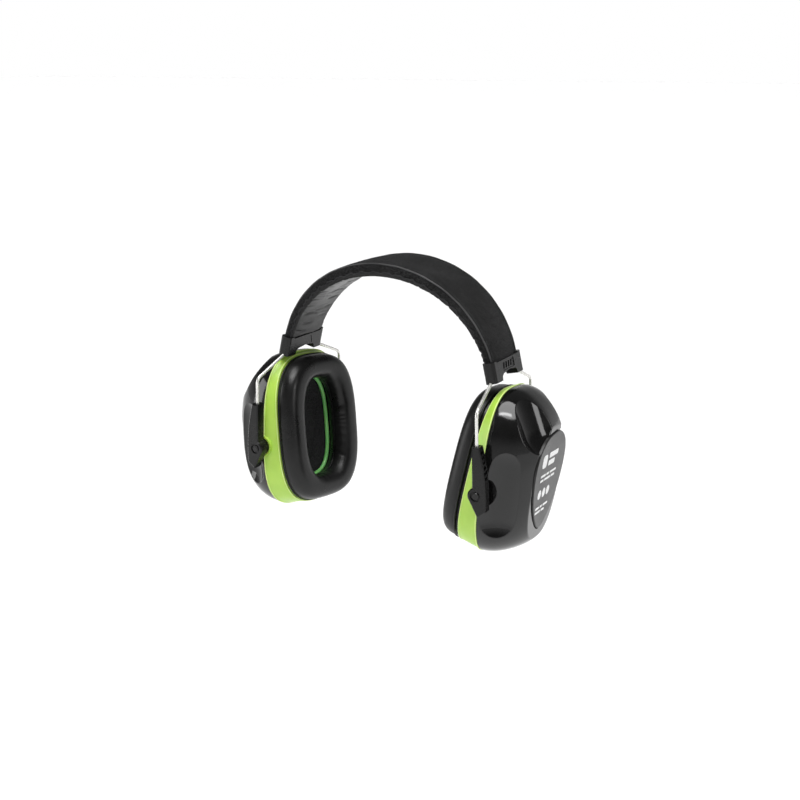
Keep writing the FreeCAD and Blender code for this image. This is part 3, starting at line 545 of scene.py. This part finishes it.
def make_weld(cup):
    """The welded flange that sticks out where the cushion's two skins are sealed."""
    rim = []
    for i in range(SKIN_AROUND * 2):
        angle = math.pi * i / SKIN_AROUND
        y, z = oval((CUSHION_HALVES[0] + 0.15, CUSHION_HALVES[1] + 0.15), angle)
        flutter = 0.12 * math.sin(angle * 31) + 0.08 * math.sin(angle * 53 + 1)
        rim.append(cup.at(CUSHION_BACK - WELD_INSET + flutter * 0.5, y, z))
    weld = tube_along(cup.name + "_cushion_weld", rim, WELD_RADIUS * MM, closed=True)
    dress(weld, cup.body, "cushion_skin")


def make_sleeve(cup):
    """A thin skin that runs from the cushion's opening into the cup, past the ring's flange."""
    start = (OPENING_HALVES[0] + 0.4, OPENING_HALVES[1] + 0.4)
    sleeve_start = CUSHION_BACK - 0.6
    rows = []
    for i in range(SLEEVE_AROUND):
        angle = 2 * math.pi * i / SLEEVE_AROUND
        first, last = oval(start, angle), oval(SLEEVE_HALVES, angle)
        row = []
        for share in (0.0, 0.25, 0.5, 0.75, 1.0, 1.04, 1.0, 0.75, 0.5, 0.25, 0.0):
            inset = 0.0 if len(row) < 6 else SLEEVE_WALL
            wave = 0.10 * math.sin(angle * 23) * math.sin(math.pi * min(share, 1.0))
            y = first[0] + (last[0] - first[0]) * share
            z = first[1] + (last[1] - first[1]) * share
            reach = 1 + (inset + wave) / math.hypot(y, z - CUP_CENTRE)
            out = sleeve_start + (SLEEVE_END - sleeve_start) * share
            row.append(cup.at(out, y * reach, CUP_CENTRE + (z - CUP_CENTRE) * reach))
        rows.append(row)
    vertices, faces = tube_grid(rows, True)
    sleeve = add_mesh(cup.name + "_opening_sleeve", vertices, faces)
    recalculate(sleeve)
    dress(sleeve, cup.body, "cushion_skin")


def make_inner_bead(cup):
    """The green bead that shows past the sleeve's end, in a lighter green than the ring: a painted
    highlight on the flange deep in the cup.
    """
    points = []
    for i in range(BEAD_AROUND):
        y, z = oval(INNER_BEAD_HALVES, 2 * math.pi * i / BEAD_AROUND)
        points.append(cup.at(INNER_BEAD_PLACE, y, z))
    bead = tube_along(cup.name + "_inner_bead", points, INNER_BEAD_RADIUS * MM, closed=True, sides=12)
    dress(bead, cup.body, "lime_inner_highlight")


def make_liner(cup):
    """The sound-absorbing foam seen through the ear opening: a soft slab with a hollow middle."""
    rows = []
    for i in range(LINER_AROUND):
        angle = 2 * math.pi * i / LINER_AROUND
        edge, dish = oval(LINER_HALVES, angle), oval(DISH_HALVES, angle)
        rise = edge[1] - CUP_CENTRE
        dish_share = dish[0] / edge[0] if abs(edge[0]) > 1 else (dish[1] - CUP_CENTRE) / rise
        row = []
        for j in range(LINER_RINGS + 1):
            share = 0.02 + 0.98 * j / LINER_RINGS
            y, z = edge[0] * share, CUP_CENTRE + rise * share
            depth = DISH_DEPTH * (1 - smooth_step(dish_share * 0.72, dish_share * 1.02, share))
            round_edge = LINER_EDGE_ROUND * smooth_step(0.93, 1.0, share)
            lump = LINER_LUMP * noise.noise(Vector((y * 0.16, z * 0.16, cup.side * 5)))
            cell = LINER_CELL * noise.noise(Vector((y * 0.9, z * 0.9, cup.side * 3)))
            row.append(cup.at(LINER_FRONT + depth + round_edge + lump + cell, y, z))
        rim = LINER_FRONT + LINER_EDGE_ROUND
        for drop in (0.5, 1.0):
            row.append(cup.at(rim + (LINER_BACK - rim) * drop, edge[0], edge[1]))
        row.append(cup.at(LINER_BACK, edge[0] * 0.02, CUP_CENTRE + rise * 0.02))
        rows.append(row)
    vertices, faces = tube_grid(rows, True)
    liner = add_mesh(cup.name + "_ear_foam", vertices, faces)
    recalculate(liner)
    dress(liner, cup.body, "foam")
    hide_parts(cup.name + "_foam_liner")


def make_ring_beads(cup):
    """The fine rounded edges of the coloured ring, painted a lighter green than the ring: a painted
    highlight where the light passes through.
    """
    face_rim, joint_rim = [], []
    for i in range(RING_BEAD_AROUND):
        angle = 2 * math.pi * i / RING_BEAD_AROUND
        y, z = oval(RING_HALVES, angle)
        face_rim.append(cup.at(RING_FACE + 0.5, y, z))
        y, z = oval(JOINT_HALVES, angle)
        joint_rim.append(cup.leaning(JOINT_FACE - 0.7, y, z, WEDGE_ANGLE, CUP_CENTRE))
    for label, points in (("face", face_rim), ("joint", joint_rim)):
        bead = tube_along(f"{cup.name}_ring_{label}_bead", points, RING_BEAD_RADIUS * MM, closed=True)
        dress(bead, cup.body, "lime_edge_highlight")


def print_bar(across, up, width, height, corner=0.0):
    """Outline of one printed shape on the badge, with rounded ends."""
    outline = []
    radius = max(corner, min(width, height) * 0.28)
    for number, (sign_y, sign_z) in enumerate(((1, 1), (-1, 1), (-1, -1), (1, -1))):
        for step in range(5):
            angle = math.radians(number * 90 + step * 22.5)
            outline.append((across + sign_y * (width / 2 - radius) + radius * math.cos(angle),
                            up + sign_z * (height / 2 - radius) + radius * math.sin(angle)))
    return outline


def print_shapes():
    """Outlines of the badge's marks: a rounded square, bars and three spots, with no lettering."""
    shapes = [print_bar(*block) for block in PRINT_BLOCKS]
    for row, (up, spans) in enumerate(PRINT_ROWS):
        start = ROW_START + ROW_SHIFT * row
        for span in spans:
            shapes.append(print_bar(start + span / 2, up, span, ROW_HEIGHT))
            start += span + ROW_GAP
    for across in PRINT_SPOTS:
        shapes.append(print_bar(across, SPOT_UP, SPOT_SIZE, SPOT_SIZE, SPOT_CORNER))
    return shapes


def make_print(cup):
    """The plain white marks as one thin raised print on the badge."""
    vertices, faces = [], []
    leaning_out = Matrix.Rotation(-cup.side * FACE_LEAN, 3, "Y") @ Vector((cup.side, 0, 0))
    normal = cup.turn @ cup.pitch @ leaning_out * MM
    for outline in print_shapes():
        first = len(vertices)
        count = len(outline)
        for lift in (BADGE_THICK - PRINT_SUNK, BADGE_THICK + PRINT_PROUD):
            for across, up in outline:
                place = cup.leaning(BADGE_OUT, cup.side * across, up, FACE_LEAN, 0)
                vertices.append(place + normal * lift)
        faces.append(tuple(range(first + count, first + 2 * count)))
        faces.append(tuple(range(first + count - 1, first - 1, -1)))
        for j in range(count):
            k = (j + 1) % count
            faces.append((first + j, first + k, first + count + k, first + count + j))
    printed = add_mesh(cup.name + "_badge_print", vertices, faces)
    printed.data.shade_flat()
    recalculate(printed)
    dress(printed, cup.body, "print_white")


# ---------------------------------------------------------------- materials

class Nodes:
    """Short forms for one material's node tree. Lengths are in the object's own metres."""

    def __init__(self, name, colour, roughness, **values):
        self.material = bpy.data.materials.new(name)
        self.material.use_nodes = True
        self.tree = self.material.node_tree
        self.shader = self.tree.nodes["Principled BSDF"]
        self.shader.inputs["Base Color"].default_value = (*colour, 1)
        self.shader.inputs["Roughness"].default_value = roughness
        for socket, value in values.items():
            self.shader.inputs[socket.replace("_", " ")].default_value = value
        self.place = self.tree.nodes.new("ShaderNodeTexCoord").outputs["Object"]
        self.height = None

    def link(self, output, target):
        self.tree.links.new(output, target)

    def noise(self, scale, detail=3.0, rough=0.55, stretch=None, place=None):
        source = place or self.place
        if stretch:
            mapping = self.tree.nodes.new("ShaderNodeMapping")
            mapping.inputs["Scale"].default_value = stretch
            self.link(source, mapping.inputs["Vector"])
            source = mapping.outputs["Vector"]
        made = self.tree.nodes.new("ShaderNodeTexNoise")
        made.inputs["Scale"].default_value = scale
        made.inputs["Detail"].default_value = detail
        made.inputs["Roughness"].default_value = rough
        self.link(source, made.inputs["Vector"])
        return made.outputs["Fac"]

    def cells(self, scale, feature="F1", place=None):
        made = self.tree.nodes.new("ShaderNodeTexVoronoi")
        made.feature = feature
        made.inputs["Scale"].default_value = scale
        self.link(place or self.place, made.inputs["Vector"])
        return made.outputs["Distance"]

    def wave(self, scale, direction, place, distortion=0.0):
        made = self.tree.nodes.new("ShaderNodeTexWave")
        made.bands_direction = direction
        made.inputs["Scale"].default_value = scale
        made.inputs["Distortion"].default_value = distortion
        self.link(place, made.inputs["Vector"])
        return made.outputs["Fac"]

    def math(self, operation, first, second):
        made = self.tree.nodes.new("ShaderNodeMath")
        made.operation = operation
        for socket, value in zip(made.inputs, (first, second)):
            if isinstance(value, (int, float)):
                socket.default_value = value
            else:
                self.link(value, socket)
        return made.outputs[0]

    def mixed(self, first, first_share, second, second_share):
        """The weighted sum of two values."""
        return self.math("ADD", self.math("MULTIPLY", first, first_share),
                         self.math("MULTIPLY", second, second_share))

    def remap(self, value, low, high, from_low=0.3, from_high=0.7):
        made = self.tree.nodes.new("ShaderNodeMapRange")
        made.inputs["From Min"].default_value = from_low
        made.inputs["From Max"].default_value = from_high
        made.inputs["To Min"].default_value = low
        made.inputs["To Max"].default_value = high
        self.link(value, made.inputs["Value"])
        return made.outputs["Result"]

    def colours(self, value, dark, light):
        made = self.tree.nodes.new("ShaderNodeMix")
        made.data_type = "RGBA"
        made.inputs["A"].default_value = (*dark, 1)
        made.inputs["B"].default_value = (*light, 1)
        self.link(value, made.inputs["Factor"])
        self.link(made.outputs["Result"], self.shader.inputs["Base Color"])

    def roughness(self, value):
        self.link(value, self.shader.inputs["Roughness"])

    def bump(self, value, depth, strength=1.0):
        made = self.tree.nodes.new("ShaderNodeBump")
        made.inputs["Strength"].default_value = strength
        made.inputs["Distance"].default_value = depth
        self.link(value, made.inputs["Height"])
        if self.height:
            self.link(self.height, made.inputs["Normal"])
        self.height = made.outputs["Normal"]
        self.link(self.height, self.shader.inputs["Normal"])


def band_fabric():
    """Fine matte plain weave with fuzz and slow patches."""
    m = Nodes("band_fabric", (0.012, 0.012, 0.013), 0.9, Sheen_Weight=0.03, Sheen_Roughness=0.4,
              Specular_IOR_Level=0.12)
    cloth = m.tree.nodes.new("ShaderNodeUVMap")
    cloth.uv_map = "cloth"
    place = cloth.outputs["UV"]
    warp = m.wave(520, "X", place, 0.6)
    weft = m.wave(520, "Y", place, 0.6)
    weave = m.math("MULTIPLY", warp, weft)
    fuzz = m.noise(1500, 4.0, 0.7)
    patch = m.noise(45, 3.0)
    grain = m.mixed(weave, 0.25, fuzz, 0.75)
    m.colours(m.remap(m.math("ADD", grain, m.math("MULTIPLY", patch, 0.2)), 0, 1, 0.50, 0.66),
              (0.0005, 0.0005, 0.0005), (0.042, 0.042, 0.043))
    m.roughness(m.remap(patch, 0.8, 0.97))
    m.bump(weave, 0.0003, 0.8)
    m.bump(fuzz, 0.0004, 0.9)
    return m.material


def leather(name, colour, light, roughness, pebble, specular=0.32):
    """Leatherette: pebbled grain, fine creases and slow variation of gloss."""
    m = Nodes(name, colour, roughness, Specular_IOR_Level=specular, Coat_Weight=specular / 8,
              Coat_Roughness=0.3)
    cells = m.cells(pebble, "SMOOTH_F1")
    crease = m.noise(420, 5.0, 0.6)
    patch = m.noise(38, 2.0)
    m.colours(m.remap(patch, 0, 1), colour, light)
    worn = m.math("ADD", patch, m.math("MULTIPLY", crease, 0.4))
    m.roughness(m.remap(worn, roughness - 0.07, roughness + 0.1, 0.5, 0.9))
    m.bump(cells, 0.00012, 0.35)
    m.bump(crease, 0.00015, 0.35)
    return m.material


def foam():
    """Open-cell charcoal foam."""
    m = Nodes("foam", (0.035, 0.036, 0.040), 0.95)
    pores = m.cells(900)
    bigger = m.cells(380)
    m.colours(m.remap(pores, 0, 1, 0.05, 0.6), (0.002, 0.002, 0.002), (0.016, 0.016, 0.017))
    m.bump(pores, 0.0005, 0.8)
    m.bump(bigger, 0.0004, 0.4)
    return m.material


def steel():
    """Bright spring wire with faint drawing lines."""
    m = Nodes("spring_steel", (0.74, 0.74, 0.72), 0.26, Metallic=0.72)
    lines = m.noise(240, 3.0, 0.5, stretch=(1, 1, 0.12))
    m.roughness(m.remap(lines, 0.20, 0.34))
    m.colours(m.remap(m.noise(90), 0, 1), (0.70, 0.69, 0.66), (0.80, 0.79, 0.76))
    m.bump(lines, 0.00001, 0.15)
    return m.material


SATIN_SPECULAR = 0.27


def moulded(name, dark, light, low, high, grain=2400, depth=0.00006):
    """Moulded plastic with spark-eroded texture, slow flow variation and handling marks."""
    m = Nodes(name, dark, (low + high) / 2, Specular_IOR_Level=SATIN_SPECULAR)
    fine = m.noise(grain, 4.0, 0.6)
    flow = m.noise(55, 3.0)
    marks = m.noise(160, 2.0, 0.5, stretch=(1, 0.25, 1))
    m.colours(m.remap(flow, 0, 1), dark, light)
    m.roughness(m.remap(m.mixed(flow, 0.6, marks, 0.4), low, high))
    m.bump(fine, depth, 0.5)
    return m.material


def gloss():
    """High-gloss black plastic: slow waviness of the skin and a few hairline marks."""
    m = Nodes("gloss_black", (0.004, 0.004, 0.004), 0.08, Specular_IOR_Level=0.42, Coat_Weight=0.12,
              Coat_Roughness=0.04)
    smear = m.noise(60, 4.0, 0.6)
    hair = m.noise(900, 2.0, 0.5, stretch=(1, 0.04, 1))
    m.roughness(m.remap(m.mixed(smear, 0.7, hair, 0.3), 0.06, 0.15))
    m.colours(m.remap(smear, 0, 1), (0.003, 0.003, 0.003), (0.006, 0.006, 0.006))
    m.bump(m.noise(24, 1.0), 0.0006, 0.08)
    m.bump(hair, 0.00001, 0.2)
    return m.material


def lime(name, dark, light, roughness):
    """Lime green plastic with a little light carried under the surface."""
    m = Nodes(name, dark, roughness, Subsurface_Weight=0.12, Subsurface_Scale=0.002)
    flow = m.noise(48, 3.0)
    fine = m.noise(2200, 3.0)
    m.colours(m.remap(flow, 0, 1), dark, light)
    m.roughness(m.remap(fine, roughness - 0.05, roughness + 0.06))
    m.bump(fine, 0.00005, 0.4)
    return m.material


def printed_white():
    """Slightly worn white print."""
    m = Nodes("print_white", (0.80, 0.80, 0.80), 0.5)
    wear = m.noise(700, 3.0)
    m.colours(m.remap(wear, 0, 1, 0.25, 0.6), (0.70, 0.70, 0.70), (0.86, 0.86, 0.86))
    m.bump(wear, 0.00003, 0.3)
    return m.material


MATERIALS = {
    "band_fabric": band_fabric(),
    "band_pad": leather("band_pad", (0.004, 0.004, 0.004), (0.010, 0.010, 0.010), 0.34, 1300, 0.20),
    "foam": foam(),
    "spring_steel": steel(),
    "satin_black": moulded("satin_black", (0.004, 0.004, 0.004), (0.009, 0.009, 0.009), 0.20, 0.32),
    "pin_plastic": moulded("pin_plastic", (0.008, 0.008, 0.008), (0.016, 0.016, 0.016), 0.20, 0.32),
    "lime_plastic": lime("lime_plastic", (0.330, 0.540, 0.060), (0.400, 0.620, 0.085), 0.34),
    # painted highlight: a much lighter green than the ring's plastic, for the ring's rounded edges
    "lime_edge_highlight": lime("lime_edge_highlight", (0.560, 0.740, 0.200), (0.620, 0.790, 0.260), 0.30),
    # painted highlight: a lighter green than the ring's plastic, so the flange deep inside the cup reads
    # bright
    "lime_inner_highlight": lime("lime_inner_highlight", (0.200, 0.640, 0.160), (0.280, 0.740, 0.220), 0.32),
    "gloss_black": gloss(),
    "badge_satin": moulded("badge_satin", (0.012, 0.012, 0.012), (0.020, 0.020, 0.020), 0.26, 0.38,
                           3000, 0.00005),
    "cushion_skin": leather("cushion_skin", (0.004, 0.004, 0.004), (0.009, 0.009, 0.009), 0.34, 1500, 0.28),
    "thread": moulded("thread", (0.008, 0.008, 0.009), (0.020, 0.020, 0.021), 0.6, 0.8, 1500, 0.00012),
    "print_white": printed_white(),
    # painted highlight: this leatherette is several times lighter than the pad's, to draw a bright line
    # along the band's upper edges
    "piping_highlight": leather("piping_highlight", (0.020, 0.020, 0.021), (0.055, 0.055, 0.056), 0.34, 1800),
}


def dress(piece, body, material):
    """Gives a new piece its material and the body that carries it."""
    piece.data.materials.append(MATERIALS[material])
    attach(piece, body)


def dress_frame():
    """Gives every CAD node the detailed material of its own slot."""
    slot_of = {row["node"]: row["material_slot"] for row in frame["record"]["subparts"]}
    for name, node in frame["nodes"].items():
        for entry in node.material_slots:
            entry.material = MATERIALS[slot_of[name]]


# ---------------------------------------------------------------- studio

ROOM_LIGHT, HORIZON_LIGHT, HORIZON_HEIGHT = 0.08, 0.55, 0.42
SKY_STRENGTH, SKY_SPREAD = 3.4, math.radians(50)
SKY_LEAN = (math.radians(8), math.radians(6), 0)
FLOOR_SIZE, FLOOR_GAP, FLOOR_COLOUR = 60.0, 0.30, (0.90, 0.90, 0.90)
CAMERA_PLACE = (0.366389, -0.650839, 0.129760)
CAMERA_TURN = (math.radians(74.037), 0, math.radians(29.265))
CAMERA_LENS, CAMERA_SENSOR = 53.89, 36.0
SOFT_BOXES = (  # name, place from the object's middle, width, height in metres, watts
    ("top_box", (0.15, -0.45, 0.95), 0.60, 0.13, 3.2),
    ("left_box", (-1.0, -0.75, 0.25), 0.45, 0.80, 4.5),
    ("right_box", (1.15, -0.30, 0.55), 0.30, 0.55, 3.0),
)


def make_floor():
    """A wide sheet of pale paper some way under the object."""
    half = FLOOR_SIZE / 2
    corners = [(-half, -half, 0), (half, -half, 0), (half, half, 0), (-half, half, 0)]
    mesh = bpy.data.meshes.new("floor")
    mesh.from_pydata(corners, [], [(0, 1, 2, 3)])
    floor = bpy.data.objects.new("floor", mesh)
    floor.location.z = cad_bounds[0][2] - FLOOR_GAP
    bpy.context.scene.collection.objects.link(floor)
    floor.data.materials.append(Nodes("floor_paper", FLOOR_COLOUR, 0.9).material)


def make_room():
    """White paper behind the object; light and reflections see a room that darkens upward."""
    world = bpy.data.worlds.new("studio")
    world.use_nodes = True
    tree = world.node_tree
    background = tree.nodes["Background"]
    background.inputs["Color"].default_value = (1, 1, 1, 1)
    seen = tree.nodes.new("ShaderNodeLightPath").outputs["Is Camera Ray"]
    height = tree.nodes.new("ShaderNodeSeparateXYZ")
    tree.links.new(tree.nodes.new("ShaderNodeTexCoord").outputs["Generated"], height.inputs["Vector"])
    fade = tree.nodes.new("ShaderNodeMapRange")
    fade.interpolation_type = "SMOOTHSTEP"
    fade.inputs["From Max"].default_value = HORIZON_HEIGHT
    fade.inputs["To Min"].default_value = HORIZON_LIGHT
    fade.inputs["To Max"].default_value = ROOM_LIGHT
    tree.links.new(height.outputs["Z"], fade.inputs["Value"])
    strength = tree.nodes.new("ShaderNodeMapRange")
    strength.inputs["To Max"].default_value = 1.0
    tree.links.new(seen, strength.inputs["Value"])
    tree.links.new(fade.outputs["Result"], strength.inputs["To Min"])
    tree.links.new(strength.outputs["Result"], background.inputs["Strength"])
    bpy.context.scene.world = world
    bpy.context.scene.view_settings.view_transform = "Standard"


def make_lights():
    """The soft boxes, aimed at the object's middle, and one broad light overhead."""
    middle = (Vector(cad_bounds[0]) + Vector(cad_bounds[1])) / 2
    for name, offset, width, height, power in SOFT_BOXES:
        lamp = bpy.data.lights.new(name, "AREA")
        lamp.shape = "RECTANGLE"
        lamp.size = width
        lamp.size_y = height
        lamp.energy = power
        light = bpy.data.objects.new(name, lamp)
        light.location = middle + Vector(offset)
        light.rotation_euler = (-Vector(offset)).to_track_quat("-Z", "Y").to_euler()
        bpy.context.scene.collection.objects.link(light)
    sky_lamp = bpy.data.lights.new("overhead", "SUN")
    sky_lamp.energy = SKY_STRENGTH
    sky_lamp.angle = SKY_SPREAD
    sky = bpy.data.objects.new("overhead", sky_lamp)
    sky.rotation_euler = SKY_LEAN
    bpy.context.scene.collection.objects.link(sky)


def make_camera():
    """A camera in front, to the right and slightly above."""
    lens = bpy.data.cameras.new("view")
    lens.lens = CAMERA_LENS
    lens.sensor_width = CAMERA_SENSOR
    camera = bpy.data.objects.new("view", lens)
    camera.location = CAMERA_PLACE
    camera.rotation_euler = CAMERA_TURN
    bpy.context.scene.collection.objects.link(camera)
    bpy.context.scene.camera = camera


# ---------------------------------------------------------------- the whole scene

dress_frame()
make_cover_and_pad()
make_seams()
make_piping()
make_stitches()
for side in SIDES:
    cup = Cup(side)
    make_cushion(cup)
    make_weld(cup)
    make_sleeve(cup)
    make_inner_bead(cup)
    make_liner(cup)
    make_ring_beads(cup)
    make_print(cup)
make_floor()
make_room()
make_lights()
make_camera()
